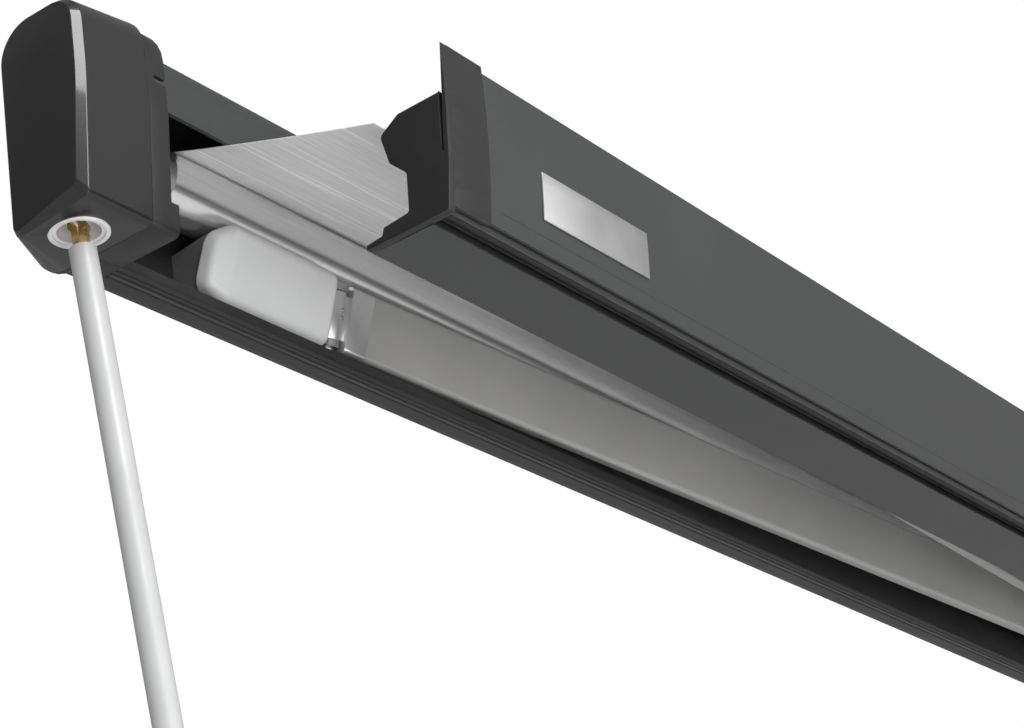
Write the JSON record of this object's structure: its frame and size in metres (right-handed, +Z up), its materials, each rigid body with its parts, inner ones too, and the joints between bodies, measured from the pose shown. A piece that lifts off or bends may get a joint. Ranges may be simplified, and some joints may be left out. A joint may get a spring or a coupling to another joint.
{
  "type": "roll out awning",
  "caption": "Wall-mounted cassette awning: dark case with a roller and canopy, folding arms, a curved lead rail and a crank rod hanging from the gear eye.",
  "frame": {"origin": "middle of the centre wall bracket, between its two holes, on the wall plane", "axes": "+X along the awning from the gear end to the plain end, +Y into the wall, +Z up; the canopy rolls out towards -Y"},
  "size_m": [3.5, 0.3332, 1.4934],
  "materials": {
    "charcoal_coat": "satin powder coat",
    "black_plastic": "fine grained moulded plastic",
    "charcoal_plastic": "satin moulded plastic",
    "white_plastic": "smooth moulded plastic",
    "white_coat": "satin paint",
    "anodised": "satin anodised",
    "bright_metal": "polished",
    "steel": "machined",
    "brass": "machined",
    "canvas": "coated fabric with pale streaks",
    "grip_plastic": "moulded",
    "rubber": "matt"
  },
  "bodies": {
    "case": {"case_profile": "charcoal_coat", "hood": "charcoal_coat", "gear_bracket": "black_plastic", "plain_bracket": "black_plastic", "gear_end_cap": "charcoal_plastic", "plain_end_cap": "charcoal_plastic", "wall_brackets": "anodised", "arm_rests": "anodised", "gear_frame": "anodised", "eye_collar": "bright_metal", "roller_bearings": "black_plastic", "shoulder_bracket_left": "anodised", "shoulder_bracket_right": "anodised", "shoulder_cover_left": "white_plastic", "shoulder_cover_right": "white_plastic", "shoulder_pins": "steel"},
    "roller": {"roller_tube": "anodised", "fabric_roll": "canvas", "roller_drive_plug": "steel", "roller_idle_plug": "steel", "roller_gear": "steel"},
    "gear_shaft": {"transfer_shaft": "steel", "worm_wheel": "brass", "transfer_pinion": "steel"},
    "eye": {"gear_eye": "bright_metal", "worm_shaft": "steel", "eye_pin": "steel"},
    "crank": {"crank_hook": "brass", "crank_rod": "white_coat", "crank_bend": "white_coat"},
    "upper_grip": {"crank_upper_grip": "grip_plastic"},
    "lower_grip": {"crank_lower_grip": "grip_plastic"},
    "inner_left": {"arm_knuckle_left": "bright_metal", "inner_arm_left": "anodised", "arm_spring_left": "steel", "elbow_fork_left": "bright_metal", "elbow_pin_left": "steel"},
    "outer_left": {"elbow_tongue_left": "bright_metal", "outer_arm_left": "anodised", "hand_knuckle_left": "bright_metal"},
    "inner_right": {"arm_knuckle_right": "bright_metal", "inner_arm_right": "anodised", "arm_spring_right": "steel", "elbow_fork_right": "bright_metal", "elbow_pin_right": "steel"},
    "outer_right": {"elbow_tongue_right": "bright_metal", "outer_arm_right": "anodised", "hand_knuckle_right": "bright_metal"},
    "rail": {"lead_rail": "charcoal_coat", "rail_end_cap_left": "black_plastic", "rail_end_cap_right": "black_plastic", "rail_bead": "rubber", "name_plate": "bright_metal", "hand_bracket_left": "bright_metal", "hand_bracket_right": "bright_metal", "hand_pins": "steel", "canopy_hem": "canvas"},
    "canopy": {"canopy": "canvas"}
  },
  "joints": [
    {"name": "shoulder_left", "type": "hinge", "parent": "case", "child": "inner_left", "pos_m": [-1.429, -0.04009, -0.00832], "axis": [0, 0.3608, -0.9326], "range_deg": [-4.22, 57.4]},
    {"name": "elbow_left", "type": "hinge", "parent": "inner_left", "child": "outer_left", "pos_m": [-0.04845, -0.14362, -0.04837], "axis": [0, 0.3608, -0.9326], "range_deg": [-115, 8.65]},
    {"name": "hand_left", "type": "hinge", "parent": "outer_left", "child": "rail", "pos_m": [-1.429, -0.24714, -0.08842], "axis": [0, 0.3608, -0.9326], "range_deg": [-4.32, 57.5], "deforming": ["canopy_hem"]},
    {"name": "shoulder_right", "type": "hinge", "parent": "case", "child": "inner_right", "pos_m": [1.429, -0.04009, -0.00832], "axis": [0, 0.3608, -0.9326], "range_deg": [-57.5, 4.32]},
    {"name": "elbow_right", "type": "hinge", "parent": "inner_right", "child": "outer_right", "pos_m": [0.04845, -0.14362, -0.04837], "axis": [0, 0.3608, -0.9326], "range_deg": [-8.65, 115]},
    {"name": "canopy_travel", "type": "slide", "parent": "case", "child": "canopy", "axis": [0, -0.9326, -0.3608], "range_m": [-0.16466, 2.22469], "deforming": ["canopy"]},
    {"name": "roller_turn", "type": "hinge", "parent": "case", "child": "roller", "pos_m": [0, -0.0315, 0.042], "axis": [1, 0, 0], "range_deg": [-428.92, 5765]},
    {"name": "gear_turn", "type": "hinge", "parent": "case", "child": "gear_shaft", "pos_m": [-1.71, -0.046, 0.02139], "axis": [1, 0, 0], "range_deg": [-5765, 428.92]},
    {"name": "eye_turn", "type": "hinge", "parent": "case", "child": "eye", "pos_m": [-1.717, -0.0665, -0.052], "axis": [0, 0, 1], "range_deg": [-28810, 2129.61]},
    {"name": "crank_swing", "type": "hinge", "parent": "eye", "child": "crank", "pos_m": [-1.717, -0.0665, -0.052], "axis": [0.9159, 0.4013, 0], "range_deg": [-24, 24]},
    {"name": "upper_grip_spin", "type": "hinge", "parent": "crank", "child": "upper_grip", "pos_m": [-1.68371, -0.14247, -1.08969], "axis": [0.032, -0.073, -0.9968], "continuous": true},
    {"name": "lower_grip_spin", "type": "hinge", "parent": "crank", "child": "lower_grip", "pos_m": [-1.60835, -0.31447, -1.30541], "axis": [0.032, -0.073, -0.9968], "continuous": true}
  ],
  "couplings": [
    {"joint": "elbow_left", "follows": "shoulder_left", "ratio": -2},
    {"joint": "hand_left", "follows": "shoulder_left", "ratio": 1},
    {"joint": "shoulder_right", "follows": "shoulder_left", "ratio": -1},
    {"joint": "elbow_right", "follows": "shoulder_left", "ratio": 2},
    {"joint": "canopy_travel", "follows": "shoulder_left", "m_per_rad": 2.2197},
    {"joint": "roller_turn", "follows": "shoulder_left", "ratio": 100.35},
    {"joint": "gear_turn", "follows": "shoulder_left", "ratio": -100.35},
    {"joint": "eye_turn", "follows": "shoulder_left", "ratio": -501.74}
  ]
}
